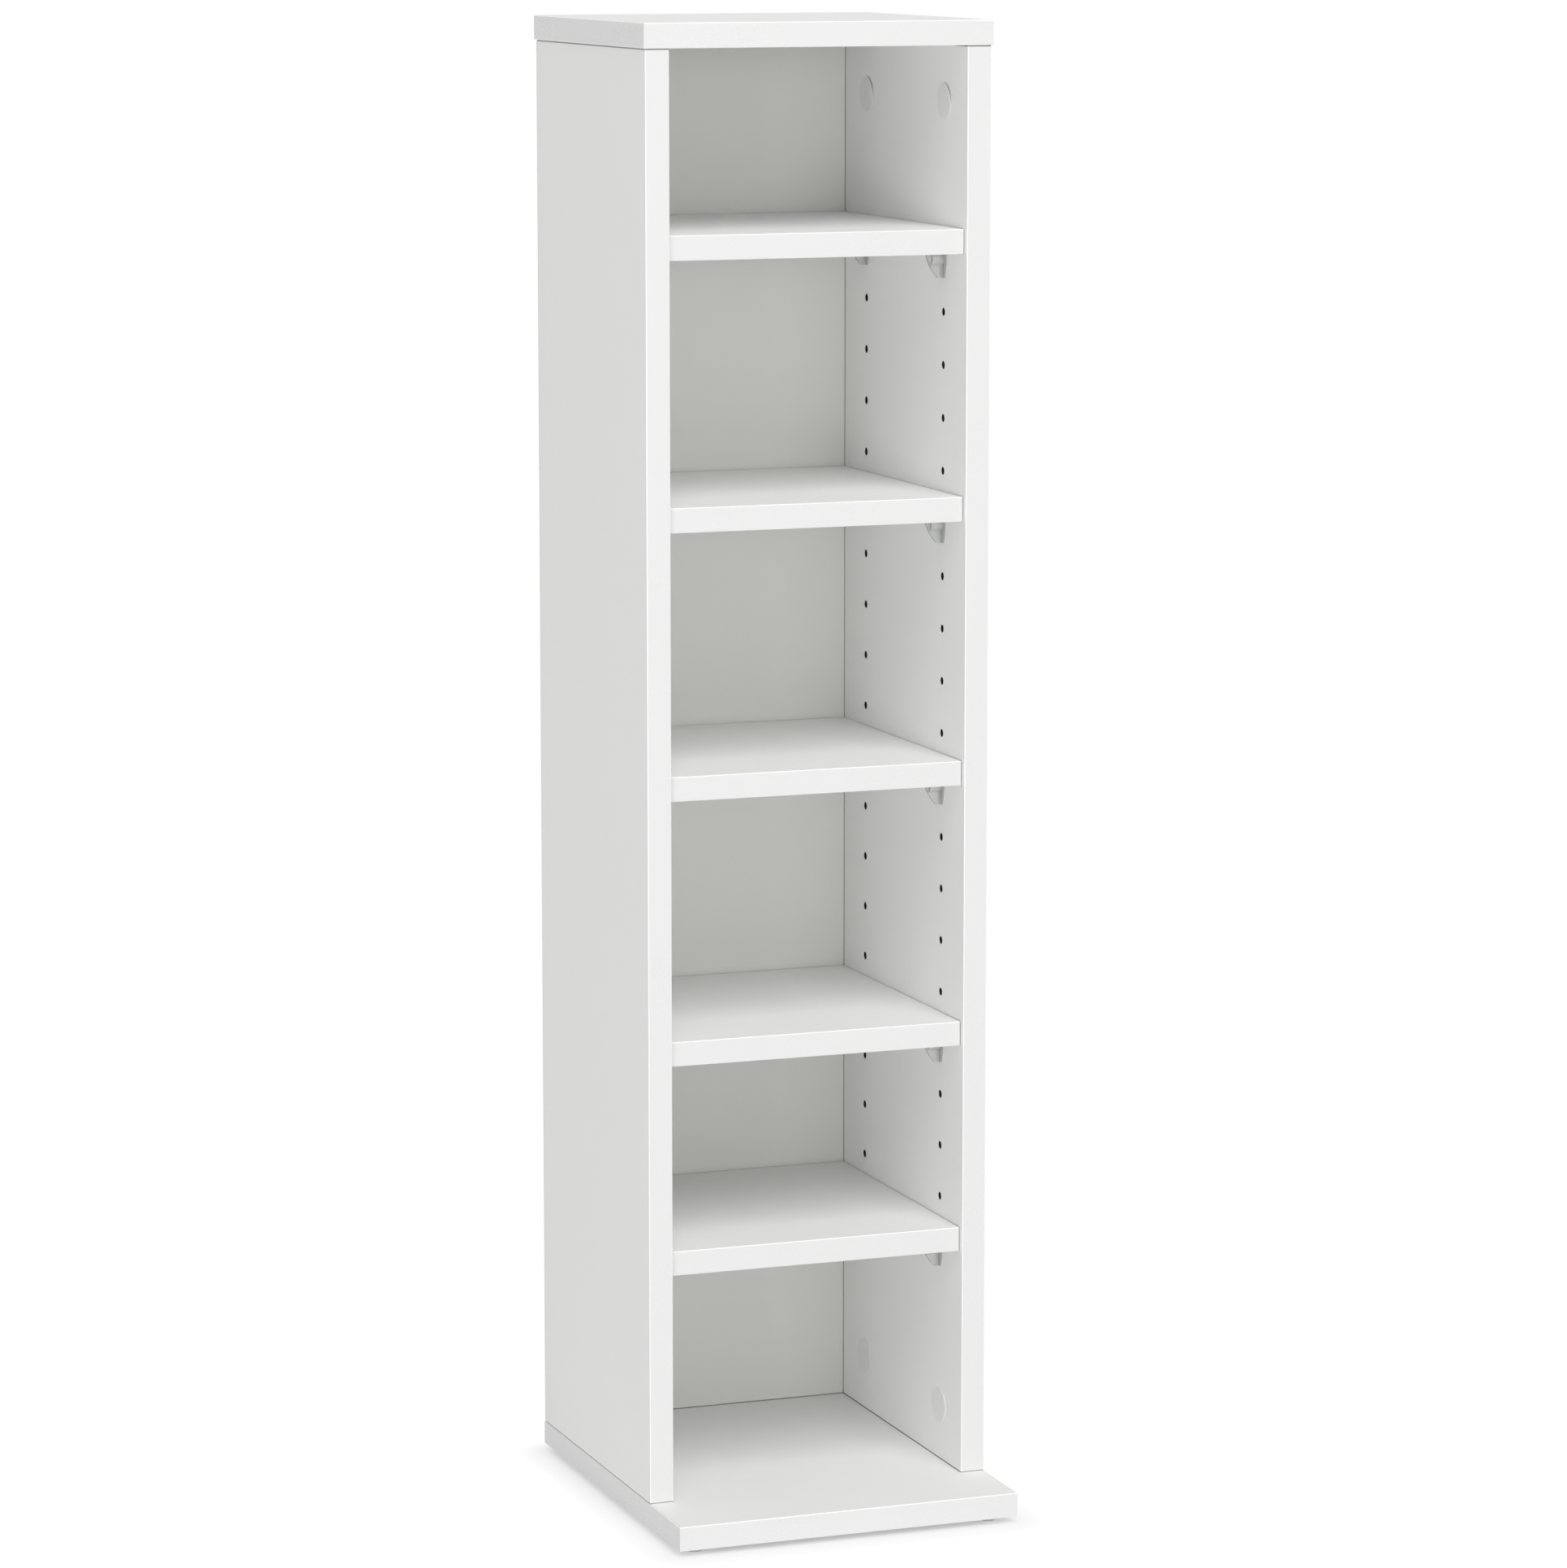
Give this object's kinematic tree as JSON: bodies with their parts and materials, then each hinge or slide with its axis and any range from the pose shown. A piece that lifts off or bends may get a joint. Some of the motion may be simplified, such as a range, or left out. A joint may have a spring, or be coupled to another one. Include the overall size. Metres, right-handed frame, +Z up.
{
  "type": "bookcase",
  "caption": "Tall narrow white bookcase with loose shelves on clear pegs in drilled sides, a cam-locked top and base, a thin nailed back, and a base that stands out in front.",
  "frame": {"origin": "on the floor, under the middle of the bookcase's whole box", "axes": "+Z up, -Y to the open front, +X to the right as seen from the front"},
  "size_m": [0.219, 0.259, 0.904],
  "materials": {
    "white_board": "white melamine facing, satin with a fine grain",
    "edge_band": "white plastic edge band, satin",
    "back_board": "white lacquered hardboard, matte",
    "clear_peg": "clear moulded plastic",
    "zinc_cam": "bare die-cast zinc",
    "plated_steel": "zinc-plated steel",
    "beech_dowel": "bare beech",
    "cover_cap": "white plastic film, satin",
    "glide_plastic": "translucent moulded plastic"
  },
  "bodies": {
    "case": {"top_panel": "white_board", "base_panel": "white_board", "left_side_panel": "white_board", "right_side_panel": "white_board", "back_panel": "back_board", "top_edge_bands": "edge_band", "base_edge_bands": "edge_band", "left_side_edge_band": "edge_band", "right_side_edge_band": "edge_band", "shelf_1_pegs": "clear_peg", "shelf_2_pegs": "clear_peg", "shelf_3_pegs": "clear_peg", "shelf_4_pegs": "clear_peg", "shelf_5_pegs": "clear_peg", "top_cover_caps": "cover_cap", "base_cover_caps": "cover_cap", "top_cam_bolts": "plated_steel", "base_cam_bolts": "plated_steel", "top_dowels": "beech_dowel", "base_dowels": "beech_dowel", "glide_nails": "plated_steel", "back_panel_nails": "plated_steel", "floor_glides": "glide_plastic"},
    "shelf_1": {"shelf_1": "white_board", "shelf_1_edge_band": "edge_band"},
    "shelf_2": {"shelf_2": "white_board", "shelf_2_edge_band": "edge_band"},
    "shelf_3": {"shelf_3": "white_board", "shelf_3_edge_band": "edge_band"},
    "shelf_4": {"shelf_4": "white_board", "shelf_4_edge_band": "edge_band"},
    "shelf_5": {"shelf_5": "white_board", "shelf_5_edge_band": "edge_band"},
    "cam_top_left_front": {"cam_top_left_front": "zinc_cam"},
    "cam_top_left_rear": {"cam_top_left_rear": "zinc_cam"},
    "cam_top_right_front": {"cam_top_right_front": "zinc_cam"},
    "cam_top_right_rear": {"cam_top_right_rear": "zinc_cam"},
    "cam_base_left_front": {"cam_base_left_front": "zinc_cam"},
    "cam_base_left_rear": {"cam_base_left_rear": "zinc_cam"},
    "cam_base_right_front": {"cam_base_right_front": "zinc_cam"},
    "cam_base_right_rear": {"cam_base_right_rear": "zinc_cam"}
  },
  "joints": [
    {"name": "shelf_1_slide", "type": "slide", "parent": "case", "child": "shelf_1", "axis": [0, -1, 0], "range_m": [0, 0.2]},
    {"name": "shelf_2_slide", "type": "slide", "parent": "case", "child": "shelf_2", "axis": [0, -1, 0], "range_m": [0, 0.2]},
    {"name": "shelf_3_slide", "type": "slide", "parent": "case", "child": "shelf_3", "axis": [0, -1, 0], "range_m": [0, 0.2]},
    {"name": "shelf_4_slide", "type": "slide", "parent": "case", "child": "shelf_4", "axis": [0, -1, 0], "range_m": [0, 0.2]},
    {"name": "shelf_5_slide", "type": "slide", "parent": "case", "child": "shelf_5", "axis": [0, -1, 0], "range_m": [0, 0.2]},
    {"name": "cam_top_left_front_turn", "type": "hinge", "parent": "case", "child": "cam_top_left_front", "pos_m": [-0.0999, -0.0385, 0.855], "axis": [1, 0, 0], "range_deg": [0, 180]},
    {"name": "cam_top_left_rear_turn", "type": "hinge", "parent": "case", "child": "cam_top_left_rear", "pos_m": [-0.0999, 0.0895, 0.855], "axis": [1, 0, 0], "range_deg": [0, 180]},
    {"name": "cam_top_right_front_turn", "type": "hinge", "parent": "case", "child": "cam_top_right_front", "pos_m": [0.0999, -0.0385, 0.855], "axis": [-1, 0, 0], "range_deg": [0, 180]},
    {"name": "cam_top_right_rear_turn", "type": "hinge", "parent": "case", "child": "cam_top_right_rear", "pos_m": [0.0999, 0.0895, 0.855], "axis": [-1, 0, 0], "range_deg": [0, 180]},
    {"name": "cam_base_left_front_turn", "type": "hinge", "parent": "case", "child": "cam_base_left_front", "pos_m": [-0.0999, -0.0385, 0.053], "axis": [1, 0, 0], "range_deg": [0, 180]},
    {"name": "cam_base_left_rear_turn", "type": "hinge", "parent": "case", "child": "cam_base_left_rear", "pos_m": [-0.0999, 0.0895, 0.053], "axis": [1, 0, 0], "range_deg": [0, 180]},
    {"name": "cam_base_right_front_turn", "type": "hinge", "parent": "case", "child": "cam_base_right_front", "pos_m": [0.0999, -0.0385, 0.053], "axis": [-1, 0, 0], "range_deg": [0, 180]},
    {"name": "cam_base_right_rear_turn", "type": "hinge", "parent": "case", "child": "cam_base_right_rear", "pos_m": [0.0999, 0.0895, 0.053], "axis": [-1, 0, 0], "range_deg": [0, 180]}
  ]
}
